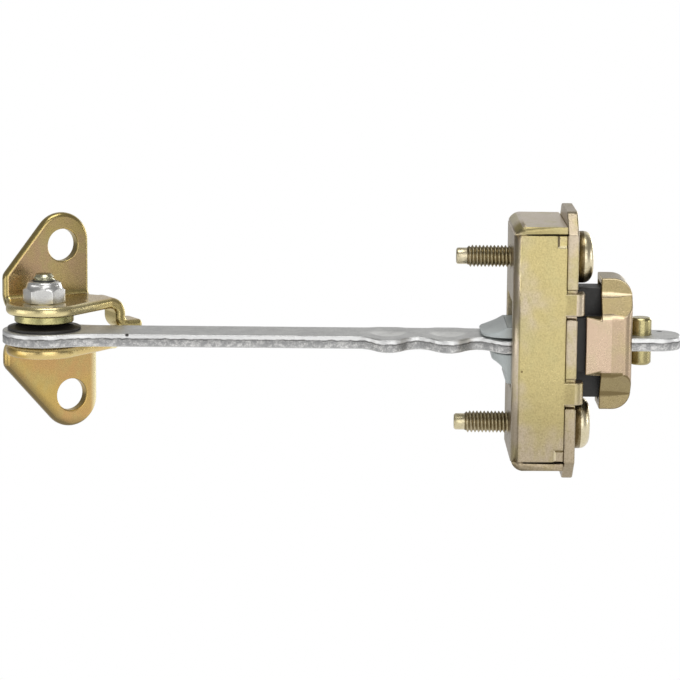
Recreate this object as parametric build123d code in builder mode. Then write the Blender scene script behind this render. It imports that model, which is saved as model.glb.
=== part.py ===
from build123d import *
from math import cos, radians, sin
import os

# A vehicle door restrictor. A stamped arm with detents slides through a housing that is bolted inside the
# door, where two sprung shoes grip it, and its eye turns in a bracket that is bolted to the door pillar.
# X runs along the arm to its free end, Y to the arm's back edge, Z up along the pivot, in millimetres.
# The origin is the middle of the two door studs, on the housing's door face. The door is fully open.

# Check arm
ARM_THICKNESS = 3.6
ARM_WIDTH = 15.0
ARM_END_X = 46.8
ARM_END_RADIUS = 6.5
PIVOT_X = -127.3
EYE_RADIUS = 11.4
NECK_RADIUS = 20.0
DETENTS = 3
DETENT_PITCH = 16.3
LAST_DETENT_X = -0.55
DETENT_SWELL = 3.8
DETENT_DIP = 0.45
POCKET_LENGTH = 9.0
POCKET_WIDTH = 15.0
POCKET_DEPTH = 0.5

# Pivot stack, from the arm upwards
SHOULDER_RADIUS = 5.0
PIVOT_THREAD_RADIUS = 3.0
PIVOT_HEAD_RADIUS = 6.5
PIVOT_TIP_OUT = 1.6
PIVOT_TIP_CHAMFER = 0.75
BUSH_WALL = 1.4
BUSH_FLANGE_RADIUS = 10.0
BUSH_FLANGE = 2.1
WASHER_RADIUS = 8.1
WASHER_THICKNESS = 2.1
THRUST_WASHER_RADIUS = 9.0
THRUST_WASHER = 0.3
NUT_ACROSS_FLATS = 10.0
NUT_HEX_HEIGHT = 5.2
NUT_COLLAR_HEIGHT = 1.1
NUT_COLLAR_RADIUS = 4.6
NUT_CHAMFER = 0.8
INSERT_HEIGHT = 1.6
INSERT_WALL = 1.0

# Pillar bracket, turned about the pivot as in the photographed position
BRACKET_TURN = 31.5
BRACKET_SHEET = 3.0
FLANGE_RADIUS = 10.4
EAR_FRONT = 9.5
UPPER_EAR_HOLE_U = 10.5
LOWER_EAR_HOLE_U = 13.0
EAR_LEFT = -7.1
EAR_HOLE_HEIGHT = 14.0
EAR_HOLE_RADIUS = 4.5
EAR_END_RADIUS = 8.0
EAR_END_RISE = 1.0
UPPER_EAR_SHOULDER = 6.6
LOWER_EAR_SHOULDER = 4.6
EAR_BEND = 1.5
CRANK_U = 24.2
CRANK_FRONT = -2.2
CRANK_BACK = 6.3
CRANK_BEND = 1.5
FOOT_BEND = 1.0
FOOT_LENGTH = 5.2
TONGUE_RISE = 1.8

# Housing: folded box, cover plate and door studs
BOX_HALF_HEIGHT = 33.2
BOX_HALF_WIDTH = 17.0
BOX_LENGTH = 14.3
BOX_SHEET = 2.0
BOX_BEND = 3.5
BOX_SEAM = 0.4
CRIMP_LENGTH = 2.8
CRIMP_HEIGHT = 3.4
CRIMP_DEPTH = 0.5
DOOR_SLOT_HALF_HEIGHT = 12.0
TAB_Z = 12.1
TAB_WIDTH = 6.0
TAB_RELIEF = 1.0
TAB_LIP = 6.0
TAB_BEND = 2.4
PLATE_THICKNESS = 3.0
PLATE_HALF_HEIGHT = 36.6
PLATE_END_HALF_WIDTH = 10.0
PLATE_TAPER = 5.6
PLATE_CORNER = 3.0
PLATE_SLOT_HALF_HEIGHT = 3.3
STUD_SPACING = 46.0
STUD_RADIUS = 3.0
SHANK_RADIUS = 3.4
STUD_OUT = 14.8
STUD_HEAD_RADIUS = 7.1
STUD_HEAD_HEIGHT = 5.0
STUD_HEAD_SIDE = 2.6
STUD_HEAD_FLAT_RADIUS = 4.5
DOG_RADIUS = 2.25
DOG_LENGTH = 2.9
DOG_TAPER = 0.75

# Shoes and rubber springs
UPPER_NOSE_X = -8.0
LOWER_NOSE_X = -5.0
UPPER_NOSE_THICKNESS = 0.9
LOWER_NOSE_THICKNESS = 1.9
SHOE_FLARE_X = -1.3
UPPER_FLARE_Z = 5.0
LOWER_FLARE_Z = 10.4
UPPER_FLARE_SAG = 0.5
LOWER_FLARE_SAG = 1.5
SHOE_NOSE_ROUND = 7.0
SHOE_HALF_WIDTH = 11.5
SHOE_BACK_Z = 12.6
SHOE_LEAD_IN = 0.7
SPRING_BORE_ROOM = 1.0

# End stop: rubber buffer, steel cap and pin
BUFFER_HALF_HEIGHT = 15.0
BUFFER_SIDE_GAP = 0.6
CAP_SHEET = 1.8
CAP_FACE_X = 32.9
CAP_SKIRT_X = 24.4
CAP_HALF_HEIGHT = 18.0
CAP_END_HALF_WIDTH = 6.5
CAP_LUG_HALF_WIDTH = 10.5
CAP_LUG_X = 20.2
CAP_LUG_HALF_HEIGHT = 8.0
CAP_SLOPE = 5.5
CAP_CORNER = 5.0
CAP_EDGE = 2.6
PIN_RADIUS = 3.0
PIN_LENGTH = 13.0
PIN_CHAMFER = 0.6

# Clearances
SLIDE_GAP = 0.3
ARM_SIDE_GAP = 0.4
TURN_FIT = 0.05
STACK_GAP = 0.08
HOLE_FIT = 0.1
SEAT_GAP = 0.03

# Heights of the pivot stack
ARM_TOP = ARM_THICKNESS / 2
BUSH_TOP = ARM_TOP + SEAT_GAP + BUSH_FLANGE
WASHER_BOTTOM = BUSH_TOP + STACK_GAP
UPPER_FLANGE_Z = WASHER_BOTTOM + WASHER_THICKNESS + SEAT_GAP
UPPER_FLANGE_TOP = UPPER_FLANGE_Z + BRACKET_SHEET
LOWER_FLANGE_TOP = -ARM_TOP - STACK_GAP - THRUST_WASHER - SEAT_GAP
LOWER_FLANGE_Z = LOWER_FLANGE_TOP - BRACKET_SHEET
NUT_Z = UPPER_FLANGE_TOP + SEAT_GAP
NUT_TOP = NUT_Z + NUT_HEX_HEIGHT + NUT_COLLAR_HEIGHT
BUSH_RADIUS = SHOULDER_RADIUS + TURN_FIT + BUSH_WALL

# Places along the housing
PLATE_FACE_X = BOX_LENGTH + PLATE_THICKNESS
STUD_Z = STUD_SPACING / 2
WALL_HALF_HEIGHT = BOX_HALF_HEIGHT - BOX_SHEET - BOX_SEAM
ARM_PASS_HALF_WIDTH = ARM_WIDTH / 2 + DETENT_SWELL + ARM_SIDE_GAP
INNER_HALF_WIDTH = BOX_HALF_WIDTH - BOX_SHEET
INNER_LEFT_X = BOX_SHEET + SLIDE_GAP
INNER_RIGHT_X = BOX_LENGTH - SLIDE_GAP
INNER_BEND = BOX_BEND - BOX_SHEET
PIN_X = CAP_FACE_X + SEAT_GAP + PIN_RADIUS

os.makedirs("parts", exist_ok=True)


def detent_centres():
    """X of each detent's middle, the last one inside the housing."""
    return [LAST_DETENT_X - DETENT_PITCH * step for step in reversed(range(DETENTS))]


def dip_edge(surface_z, end_x):
    """One face of the strip seen from the side: flat, then a shallow dip at each detent."""
    first_x = LAST_DETENT_X - DETENT_PITCH * (DETENTS - 0.5)
    Line((PIVOT_X - EYE_RADIUS, surface_z), (first_x, surface_z))
    for centre_x in detent_centres():
        ThreePointArc(
            (centre_x - DETENT_PITCH / 2, surface_z),
            (centre_x, surface_z - DETENT_DIP),
            (centre_x + DETENT_PITCH / 2, surface_z),
        )
    Line((LAST_DETENT_X + DETENT_PITCH / 2, surface_z), (end_x, surface_z))


def wavy_edge(side):
    """One edge of the strip seen from above: it swells at each detent, in arcs that run into each other."""
    waist_y = side * ARM_WIDTH / 2
    swell_y = side * (ARM_WIDTH / 2 + DETENT_SWELL)
    middle_y = (waist_y + swell_y) / 2
    quarter = DETENT_PITCH / 4
    for centre_x in detent_centres():
        rise = TangentArc((centre_x - 2 * quarter, waist_y), (centre_x - quarter, middle_y), tangent=(1, 0))
        crest = ThreePointArc(rise @ 1, (centre_x, swell_y), (centre_x + quarter, middle_y))
        TangentArc(crest @ 1, (centre_x + 2 * quarter, waist_y), tangent=crest % 1)


def detent_pocket(centre_x, face_z):
    """Round-bottomed pocket coined into the top of the arm, where the upper shoe drops in."""
    pocket_radius = (POCKET_LENGTH**2 / 4 + POCKET_DEPTH**2) / (2 * POCKET_DEPTH)
    with Locations((centre_x, 0, face_z + pocket_radius - POCKET_DEPTH)):
        Cylinder(pocket_radius, POCKET_WIDTH, rotation=(90, 0, 0), mode=Mode.SUBTRACT)


# Check arm: one stamped strip, its edges swollen and its faces dipped at the detents
with BuildPart() as check_arm:
    with BuildSketch(Plane.XZ):
        with BuildLine():
            dip_edge(ARM_TOP, ARM_END_X)
            dip_edge(-ARM_TOP, ARM_END_X)
            Line((PIVOT_X - EYE_RADIUS, ARM_TOP), (PIVOT_X - EYE_RADIUS, -ARM_TOP))
            Line((ARM_END_X, ARM_TOP), (ARM_END_X, -ARM_TOP))
        make_face()
    extrude(amount=EYE_RADIUS + ARM_WIDTH, both=True)
    with BuildSketch(Plane.XY):
        with Locations(((PIVOT_X + ARM_END_X) / 2, 0)):
            Rectangle(ARM_END_X - PIVOT_X, ARM_WIDTH)
        fillet(vertices().group_by(Axis.X)[-1], radius=ARM_END_RADIUS)
        with Locations((PIVOT_X, 0)):
            Circle(EYE_RADIUS)
        fillet(vertices().filter_by_position(Axis.X, PIVOT_X, PIVOT_X + EYE_RADIUS), radius=NECK_RADIUS)
        with BuildLine() as waves:
            wavy_edge(1)
            wavy_edge(-1)
            for end_x in (detent_centres()[0] - DETENT_PITCH / 2, LAST_DETENT_X + DETENT_PITCH / 2):
                Line((end_x, ARM_WIDTH / 2), (end_x, -ARM_WIDTH / 2))
        make_face(waves.edges())
        with Locations((PIVOT_X, 0)):
            Circle(BUSH_RADIUS + SEAT_GAP, mode=Mode.SUBTRACT)
        with Locations((PIN_X, 0)):
            Circle(PIN_RADIUS + SEAT_GAP, mode=Mode.SUBTRACT)
    extrude(amount=2 * ARM_THICKNESS, both=True, mode=Mode.INTERSECT)
    for centre_x in detent_centres():
        detent_pocket(centre_x, ARM_TOP - DETENT_DIP)
check_arm.part.label = "check_arm"
export_step(check_arm.part, "parts/check_arm.step")


# Pivot bush: moulded sleeve in the eye, with a flange on top of the arm
with BuildPart() as pivot_bush:
    with BuildSketch(Plane.XY.offset(-ARM_TOP)):
        with Locations((PIVOT_X, 0)):
            Circle(BUSH_RADIUS)
    extrude(amount=ARM_THICKNESS + SEAT_GAP)
    with BuildSketch(Plane.XY.offset(ARM_TOP + SEAT_GAP)):
        with Locations((PIVOT_X, 0)):
            Circle(BUSH_FLANGE_RADIUS)
    extrude(amount=BUSH_FLANGE)
    with Locations((PIVOT_X, 0, BUSH_TOP)):
        Hole(SHOULDER_RADIUS + TURN_FIT)
pivot_bush.part.label = "pivot_bush"
export_step(pivot_bush.part, "parts/pivot_bush.step")


# Washers: a plated spacer under the upper bracket and a thin one under the arm
with BuildPart() as upper_washer:
    with BuildSketch(Plane.XY.offset(WASHER_BOTTOM)):
        with Locations((PIVOT_X, 0)):
            Circle(WASHER_RADIUS)
            Circle(SHOULDER_RADIUS + HOLE_FIT, mode=Mode.SUBTRACT)
    extrude(amount=WASHER_THICKNESS)
upper_washer.part.label = "upper_washer"
export_step(upper_washer.part, "parts/upper_washer.step")

with BuildPart() as lower_thrust_washer:
    with BuildSketch(Plane.XY.offset(LOWER_FLANGE_TOP + SEAT_GAP)):
        with Locations((PIVOT_X, 0)):
            Circle(THRUST_WASHER_RADIUS)
            Circle(SHOULDER_RADIUS + HOLE_FIT, mode=Mode.SUBTRACT)
    extrude(amount=THRUST_WASHER)
lower_thrust_washer.part.label = "lower_thrust_washer"
export_step(lower_thrust_washer.part, "parts/lower_thrust_washer.step")


# Pivot stud: head pressed flush into the lower bracket, plain shoulder for the bush, threaded top end
with BuildPart() as pivot_stud:
    shoulder_top = UPPER_FLANGE_Z - SEAT_GAP
    tip_z = NUT_TOP + PIVOT_TIP_OUT
    with BuildSketch(Plane.XZ):
        with BuildLine():
            Polyline(
                (PIVOT_X, LOWER_FLANGE_Z),
                (PIVOT_X + PIVOT_HEAD_RADIUS, LOWER_FLANGE_Z),
                (PIVOT_X + PIVOT_HEAD_RADIUS, LOWER_FLANGE_TOP),
                (PIVOT_X + SHOULDER_RADIUS, LOWER_FLANGE_TOP),
                (PIVOT_X + SHOULDER_RADIUS, shoulder_top),
                (PIVOT_X + PIVOT_THREAD_RADIUS, shoulder_top),
                (PIVOT_X + PIVOT_THREAD_RADIUS, tip_z - PIVOT_TIP_CHAMFER),
                (PIVOT_X + PIVOT_THREAD_RADIUS - PIVOT_TIP_CHAMFER, tip_z),
                (PIVOT_X, tip_z),
                close=True,
            )
        make_face()
    revolve(axis=Axis((PIVOT_X, 0, 0), (0, 0, 1)))
pivot_stud.part.label = "pivot_stud"
export_step(pivot_stud.part, "parts/pivot_stud.step")


# Lock nut: hexagon with its top turned off, and a collar rolled over a nylon ring
with BuildPart() as lock_nut:
    corner_radius = NUT_ACROSS_FLATS / (2 * cos(radians(30)))
    hex_top = NUT_Z + NUT_HEX_HEIGHT
    insert_radius = PIVOT_THREAD_RADIUS + SEAT_GAP + INSERT_WALL
    insert_z = NUT_TOP - INSERT_HEIGHT
    with BuildSketch(Plane.XY.offset(NUT_Z)):
        with Locations((PIVOT_X, 0)):
            RegularPolygon(radius=corner_radius, side_count=6)
    extrude(amount=NUT_HEX_HEIGHT)
    with BuildSketch(Plane.XZ):
        with BuildLine():
            Polyline(
                (PIVOT_X, NUT_Z),
                (PIVOT_X + corner_radius, NUT_Z),
                (PIVOT_X + corner_radius, hex_top - NUT_CHAMFER / 2),
                (PIVOT_X + corner_radius - NUT_CHAMFER, hex_top),
                (PIVOT_X, hex_top),
                close=True,
            )
        make_face()
    revolve(axis=Axis((PIVOT_X, 0, 0), (0, 0, 1)), mode=Mode.INTERSECT)
    with BuildSketch(Plane.XY.offset(hex_top)):
        with Locations((PIVOT_X, 0)):
            Circle(NUT_COLLAR_RADIUS)
    extrude(amount=NUT_COLLAR_HEIGHT)
    with Locations((PIVOT_X, 0, NUT_TOP)):
        CounterBoreHole(PIVOT_THREAD_RADIUS + SEAT_GAP, insert_radius, INSERT_HEIGHT)
lock_nut.part.label = "lock_nut"
export_step(lock_nut.part, "parts/lock_nut.step")

with BuildPart() as nut_insert:
    with BuildSketch(Plane.XY.offset(insert_z + SEAT_GAP)):
        with Locations((PIVOT_X, 0)):
            Circle(insert_radius - SEAT_GAP)
            Circle(PIVOT_THREAD_RADIUS + SEAT_GAP, mode=Mode.SUBTRACT)
    extrude(amount=INSERT_HEIGHT - 2 * SEAT_GAP)
nut_insert.part.label = "nut_insert"
export_step(nut_insert.part, "parts/nut_insert.step")


# Pillar bracket: two stampings, each an ear bent from a flange. Their own axes run along the ears (U) and
# from the pivot to the ears (V).
turn = radians(BRACKET_TURN)
U_AXIS = (cos(turn), sin(turn), 0)
V_AXIS = (-sin(turn), cos(turn), 0)
PIVOT = Vector(PIVOT_X, 0, 0)
EAR_BACK = EAR_FRONT + BRACKET_SHEET
EAR_BEND_V = EAR_FRONT - EAR_BEND
CRANK_INNER_U = CRANK_U - BRACKET_SHEET
CRANK_BEND_U = CRANK_INNER_U - CRANK_BEND
FOOT_END_U = CRANK_U + FOOT_LENGTH
TONGUE_TOP = LOWER_FLANGE_TOP + TONGUE_RISE
bracket_plan = Plane(origin=PIVOT, x_dir=U_AXIS, z_dir=(0, 0, 1))
bracket_face = Plane(origin=PIVOT, x_dir=U_AXIS, z_dir=(-V_AXIS[0], -V_AXIS[1], 0))
bracket_side = Plane(origin=PIVOT, x_dir=V_AXIS, z_dir=U_AXIS)


def folded_ear(flange_in, flange_out, hole_u, shoulder, up):
    """Flange and ear as one bent sheet, the ear up for 1 or down for -1."""
    ear_right = hole_u + EAR_END_RADIUS
    hole_z = flange_out + up * EAR_HOLE_HEIGHT
    round_z = hole_z + up * EAR_END_RISE
    ear_end = round_z + up * EAR_END_RADIUS
    with BuildSketch(bracket_side.offset(-FLANGE_RADIUS)) as bend:
        with BuildLine():
            FilletPolyline(
                (-FLANGE_RADIUS, flange_in),
                (EAR_BACK, flange_in),
                (EAR_BACK, ear_end),
                (EAR_FRONT, ear_end),
                (EAR_FRONT, flange_out),
                (-FLANGE_RADIUS, flange_out),
                radius=[0, EAR_BEND + BRACKET_SHEET, 0, 0, EAR_BEND, 0],
                close=True,
            )
        make_face()
    extrude(bend.sketch, amount=FOOT_END_U + FLANGE_RADIUS)
    with BuildSketch(bracket_plan) as plan:
        with BuildLine():
            CenterArc((0, 0), FLANGE_RADIUS, 0, 360)
            Line((EAR_LEFT, EAR_BEND_V), (ear_right, EAR_BEND_V))
            Line((CRANK_BEND_U, CRANK_FRONT), (CRANK_BEND_U, CRANK_BACK))
        make_hull()
        with Locations(((EAR_LEFT + ear_right) / 2, (EAR_BEND_V + EAR_BACK) / 2)):
            Rectangle(ear_right - EAR_LEFT, EAR_BACK - EAR_BEND_V)
    extrude(plan.sketch, amount=2 * abs(ear_end), both=True, mode=Mode.INTERSECT)
    with BuildSketch(bracket_face) as face:
        with BuildLine():
            CenterArc((hole_u, round_z), EAR_END_RADIUS, 0, 360)
            Line((ear_right, flange_in), (ear_right, round_z))
            Line((EAR_LEFT, flange_in), (EAR_LEFT, flange_out + up * shoulder))
        make_hull()
        flange_span = FOOT_END_U + FLANGE_RADIUS
        with Locations(((FOOT_END_U - FLANGE_RADIUS) / 2, (flange_in + flange_out) / 2)):
            Rectangle(flange_span, BRACKET_SHEET)
        with Locations((hole_u, hole_z)):
            Circle(EAR_HOLE_RADIUS, mode=Mode.SUBTRACT)
    extrude(face.sketch, amount=EAR_BACK + FLANGE_RADIUS, both=True, mode=Mode.INTERSECT)


# Upper bracket: its flange is cranked down behind the arm to a foot on the lower bracket
with BuildPart() as upper_bracket:
    folded_ear(UPPER_FLANGE_Z, UPPER_FLANGE_TOP, UPPER_EAR_HOLE_U, UPPER_EAR_SHOULDER, 1)
    foot_z = TONGUE_TOP + SEAT_GAP
    foot_top = foot_z + BRACKET_SHEET
    crank_outer = CRANK_BEND + BRACKET_SHEET
    foot_outer = FOOT_BEND + BRACKET_SHEET
    with BuildSketch(bracket_face.offset(-CRANK_BACK)):
        with BuildLine():
            FilletPolyline(
                (0, UPPER_FLANGE_TOP),
                (CRANK_U, UPPER_FLANGE_TOP),
                (CRANK_U, foot_top),
                (FOOT_END_U, foot_top),
                (FOOT_END_U, foot_z),
                (CRANK_INNER_U, foot_z),
                (CRANK_INNER_U, UPPER_FLANGE_Z),
                (0, UPPER_FLANGE_Z),
                radius=[0, crank_outer, FOOT_BEND, 0, 0, foot_outer, CRANK_BEND, 0],
                close=True,
            )
        make_face()
    extrude(amount=CRANK_BACK - CRANK_FRONT)
    with BuildSketch(Plane.XY.offset(UPPER_FLANGE_Z)):
        with Locations((PIVOT_X, 0)):
            Circle(PIVOT_THREAD_RADIUS + HOLE_FIT)
    extrude(amount=BRACKET_SHEET, mode=Mode.SUBTRACT)
upper_bracket.part.label = "upper_bracket"
export_step(upper_bracket.part, "parts/upper_bracket.step")


# Lower bracket: a flange under the arm, its tongue stepped up to carry the upper bracket's foot
with BuildPart() as lower_bracket:
    folded_ear(LOWER_FLANGE_TOP, LOWER_FLANGE_Z, LOWER_EAR_HOLE_U, LOWER_EAR_SHOULDER, -1)
    tongue_z = TONGUE_TOP - BRACKET_SHEET
    with BuildSketch(bracket_face.offset(-CRANK_BACK)):
        with BuildLine():
            FilletPolyline(
                (0, LOWER_FLANGE_TOP),
                (CRANK_INNER_U, LOWER_FLANGE_TOP),
                (CRANK_U, TONGUE_TOP),
                (FOOT_END_U, TONGUE_TOP),
                (FOOT_END_U, tongue_z),
                (CRANK_U, tongue_z),
                (CRANK_INNER_U, LOWER_FLANGE_Z),
                (0, LOWER_FLANGE_Z),
                radius=[0, FOOT_BEND, FOOT_BEND, 0, 0, FOOT_BEND, FOOT_BEND, 0],
                close=True,
            )
        make_face()
    extrude(amount=CRANK_BACK - CRANK_FRONT)
    with BuildSketch(Plane.XY.offset(LOWER_FLANGE_Z)):
        with Locations((PIVOT_X, 0)):
            Circle(PIVOT_HEAD_RADIUS + SEAT_GAP)
    extrude(amount=BRACKET_SHEET, mode=Mode.SUBTRACT)
lower_bracket.part.label = "lower_bracket"
export_step(lower_bracket.part, "parts/lower_bracket.step")


def folded_walls(half_span):
    """Section of the box: the door face at X = 0 and two walls folded from it to the open side."""
    inner_span = half_span - BOX_SHEET
    with BuildLine() as outline:
        FilletPolyline(
            (BOX_LENGTH, half_span),
            (0, half_span),
            (0, -half_span),
            (BOX_LENGTH, -half_span),
            (BOX_LENGTH, -inner_span),
            (BOX_SHEET, -inner_span),
            (BOX_SHEET, inner_span),
            (BOX_LENGTH, inner_span),
            radius=[0, BOX_BEND, BOX_BEND, 0, 0, INNER_BEND, INNER_BEND, 0],
            close=True,
        )
    make_face(outline.edges())


# Housing box: a cross-shaped blank folded into five walls, with four tabs bent over the cover plate
with BuildPart() as housing_box:
    with BuildSketch(Plane.XZ):
        folded_walls(BOX_HALF_HEIGHT)
    extrude(amount=BOX_HALF_WIDTH, both=True)
    for side in (1, -1):
        with Locations((BOX_LENGTH / 2, side * BOX_HALF_WIDTH, 0)):
            Box(2 * BOX_LENGTH, 2 * BOX_BEND, 2 * WALL_HALF_HEIGHT + BOX_SEAM, mode=Mode.SUBTRACT)
    with BuildSketch(Plane.XY):
        folded_walls(BOX_HALF_WIDTH)
    extrude(amount=WALL_HALF_HEIGHT, both=True)
    for side in (1, -1):
        for tab_z in (TAB_Z, -TAB_Z):
            lip_x = PLATE_FACE_X + SEAT_GAP
            tab_end_x = lip_x + BOX_SHEET
            lip_y = BOX_HALF_WIDTH - TAB_LIP
            with BuildSketch(Plane.XY.offset(tab_z - TAB_WIDTH / 2)):
                with BuildLine():
                    FilletPolyline(
                        (BOX_LENGTH, side * BOX_HALF_WIDTH),
                        (tab_end_x, side * BOX_HALF_WIDTH),
                        (tab_end_x, side * lip_y),
                        (lip_x, side * lip_y),
                        (lip_x, side * INNER_HALF_WIDTH),
                        (BOX_LENGTH, side * INNER_HALF_WIDTH),
                        radius=[0, TAB_BEND, 0, 0, 0, 0],
                        close=True,
                    )
                make_face()
            extrude(amount=TAB_WIDTH)
    with BuildSketch(Plane.YZ):
        Rectangle(2 * ARM_PASS_HALF_WIDTH, 2 * DOOR_SLOT_HALF_HEIGHT)
        with Locations((0, STUD_Z), (0, -STUD_Z)):
            Circle(SHANK_RADIUS + HOLE_FIT)
    extrude(amount=BOX_SHEET, mode=Mode.SUBTRACT)
    crimp_z = WALL_HALF_HEIGHT - CRIMP_HEIGHT / 2
    with Locations(
        (BOX_LENGTH - CRIMP_LENGTH / 2, -BOX_HALF_WIDTH, crimp_z),
        (BOX_LENGTH - CRIMP_LENGTH / 2, -BOX_HALF_WIDTH, -crimp_z),
    ):
        Box(CRIMP_LENGTH, 2 * CRIMP_DEPTH, CRIMP_HEIGHT, mode=Mode.SUBTRACT)
housing_box.part.label = "housing_box"
export_step(housing_box.part, "parts/housing_box.step")


# Cover plate: thick blanked plate with tapered ends, notched for the tabs
with BuildPart() as cover_plate:
    with BuildSketch(Plane.YZ.offset(BOX_LENGTH + SEAT_GAP)):
        taper_z = PLATE_HALF_HEIGHT - PLATE_TAPER
        with BuildLine():
            FilletPolyline(
                (BOX_HALF_WIDTH, -taper_z),
                (BOX_HALF_WIDTH, taper_z),
                (PLATE_END_HALF_WIDTH, PLATE_HALF_HEIGHT),
                (-PLATE_END_HALF_WIDTH, PLATE_HALF_HEIGHT),
                (-BOX_HALF_WIDTH, taper_z),
                (-BOX_HALF_WIDTH, -taper_z),
                (-PLATE_END_HALF_WIDTH, -PLATE_HALF_HEIGHT),
                (PLATE_END_HALF_WIDTH, -PLATE_HALF_HEIGHT),
                radius=[0, 0, PLATE_CORNER, PLATE_CORNER, 0, 0, PLATE_CORNER, PLATE_CORNER],
                close=True,
            )
        make_face()
        notch_depth = BOX_SHEET + HOLE_FIT
        notch_y = BOX_HALF_WIDTH - notch_depth / 2
        with Locations(*[(y, z) for y in (notch_y, -notch_y) for z in (TAB_Z, -TAB_Z)]):
            Rectangle(notch_depth, TAB_WIDTH + 2 * TAB_RELIEF, mode=Mode.SUBTRACT)
        Rectangle(2 * ARM_PASS_HALF_WIDTH, 2 * PLATE_SLOT_HALF_HEIGHT, mode=Mode.SUBTRACT)
        with Locations((0, STUD_Z), (0, -STUD_Z)):
            Circle(SHANK_RADIUS + HOLE_FIT, mode=Mode.SUBTRACT)
    extrude(amount=PLATE_THICKNESS - SEAT_GAP)
cover_plate.part.label = "cover_plate"
export_step(cover_plate.part, "parts/cover_plate.step")


def door_stud(stud_z):
    """Domed stud: head on the cover plate, plain shank in the box, thread out of the door to a dog point."""
    head_x = PLATE_FACE_X + SEAT_GAP
    head_end_x = head_x + STUD_HEAD_HEIGHT
    dog_x = DOG_LENGTH - STUD_OUT
    with BuildSketch(Plane.XZ) as section:
        with BuildLine():
            Polyline(
                (-STUD_OUT, stud_z),
                (-STUD_OUT, stud_z + DOG_RADIUS),
                (dog_x, stud_z + DOG_RADIUS),
                (dog_x + DOG_TAPER, stud_z + STUD_RADIUS),
                (SEAT_GAP, stud_z + STUD_RADIUS),
                (SEAT_GAP, stud_z + SHANK_RADIUS),
                (head_x, stud_z + SHANK_RADIUS),
                (head_x, stud_z + STUD_HEAD_RADIUS),
                (head_x + STUD_HEAD_SIDE, stud_z + STUD_HEAD_RADIUS),
                (head_end_x, stud_z + STUD_HEAD_FLAT_RADIUS),
                (head_end_x, stud_z),
                close=True,
            )
        make_face()
    revolve(section.sketch, axis=Axis((0, 0, stud_z), (1, 0, 0)))


with BuildPart() as upper_stud:
    door_stud(STUD_Z)
upper_stud.part.label = "upper_stud"
export_step(upper_stud.part, "parts/upper_stud.step")

with BuildPart() as lower_stud:
    door_stud(-STUD_Z)
lower_stud.part.label = "lower_stud"
export_step(lower_stud.part, "parts/lower_stud.step")


def slide_shoe(nose_x, grip_z, nose_z, flare_z, flare_sag, up):
    """Moulded shoe: a flared nose through the door face, and a wider body that the box traps."""
    with BuildSketch(Plane.XZ) as section:
        with BuildLine():
            Line((nose_x, nose_z), (nose_x, grip_z + up * SHOE_LEAD_IN))
            RadiusArc(
                (nose_x, grip_z + up * SHOE_LEAD_IN),
                (nose_x + SHOE_LEAD_IN, grip_z),
                -up * SHOE_LEAD_IN,
            )
            Polyline(
                (nose_x + SHOE_LEAD_IN, grip_z),
                (INNER_RIGHT_X, grip_z),
                (INNER_RIGHT_X, flare_z),
                (SHOE_FLARE_X, flare_z),
            )
            SagittaArc((SHOE_FLARE_X, flare_z), (nose_x, nose_z), up * flare_sag)
        make_face()
    extrude(section.sketch, amount=SHOE_HALF_WIDTH, both=True)
    with BuildSketch(Plane.XY) as plan:
        with BuildLine():
            FilletPolyline(
                (INNER_RIGHT_X, SHOE_HALF_WIDTH),
                (nose_x, SHOE_HALF_WIDTH),
                (nose_x, -SHOE_HALF_WIDTH),
                (INNER_RIGHT_X, -SHOE_HALF_WIDTH),
                radius=[0, SHOE_NOSE_ROUND, SHOE_NOSE_ROUND, 0],
                close=True,
            )
        make_face()
    extrude(plan.sketch, amount=SHOE_BACK_Z, both=True, mode=Mode.INTERSECT)
    body_middle_x = (INNER_LEFT_X + INNER_RIGHT_X) / 2
    with Locations((body_middle_x, 0, (grip_z + up * SHOE_BACK_Z) / 2)):
        Box(
            INNER_RIGHT_X - INNER_LEFT_X,
            2 * (INNER_HALF_WIDTH - ARM_SIDE_GAP),
            SHOE_BACK_Z - abs(grip_z),
        )
    body_sides = edges().filter_by(Axis.Z).group_by(SortBy.LENGTH)[-1].group_by(Axis.X)[0]
    chamfer(body_sides, length=INNER_BEND)


with BuildPart() as upper_shoe:
    upper_grip_z = ARM_TOP + SLIDE_GAP
    upper_nose_z = upper_grip_z + UPPER_NOSE_THICKNESS
    slide_shoe(UPPER_NOSE_X, upper_grip_z, upper_nose_z, UPPER_FLARE_Z, UPPER_FLARE_SAG, 1)
upper_shoe.part.label = "upper_shoe"
export_step(upper_shoe.part, "parts/upper_shoe.step")

with BuildPart() as lower_shoe:
    lower_grip_z = -ARM_TOP - DETENT_DIP - SLIDE_GAP
    lower_nose_z = lower_grip_z - LOWER_NOSE_THICKNESS
    slide_shoe(LOWER_NOSE_X, lower_grip_z, lower_nose_z, -LOWER_FLARE_Z, LOWER_FLARE_SAG, -1)
lower_shoe.part.label = "lower_shoe"
export_step(lower_shoe.part, "parts/lower_shoe.step")


def rubber_spring(up):
    """Rubber block between a shoe and the end of the box, bored well clear of the stud."""
    inner_z = SHOE_BACK_Z + SEAT_GAP
    outer_z = BOX_HALF_HEIGHT - BOX_SHEET - SEAT_GAP
    with Locations(((INNER_LEFT_X + INNER_RIGHT_X) / 2, 0, up * (inner_z + outer_z) / 2)):
        Box(
            INNER_RIGHT_X - INNER_LEFT_X,
            2 * (INNER_HALF_WIDTH - ARM_SIDE_GAP),
            outer_z - inner_z,
        )
    chamfer(faces().sort_by(Axis.X)[0].edges(), length=INNER_BEND)
    with BuildSketch(Plane.YZ) as bore:
        with Locations((0, up * STUD_Z)):
            Circle(SHANK_RADIUS + SPRING_BORE_ROOM)
    extrude(bore.sketch, amount=BOX_LENGTH, mode=Mode.SUBTRACT)


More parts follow.
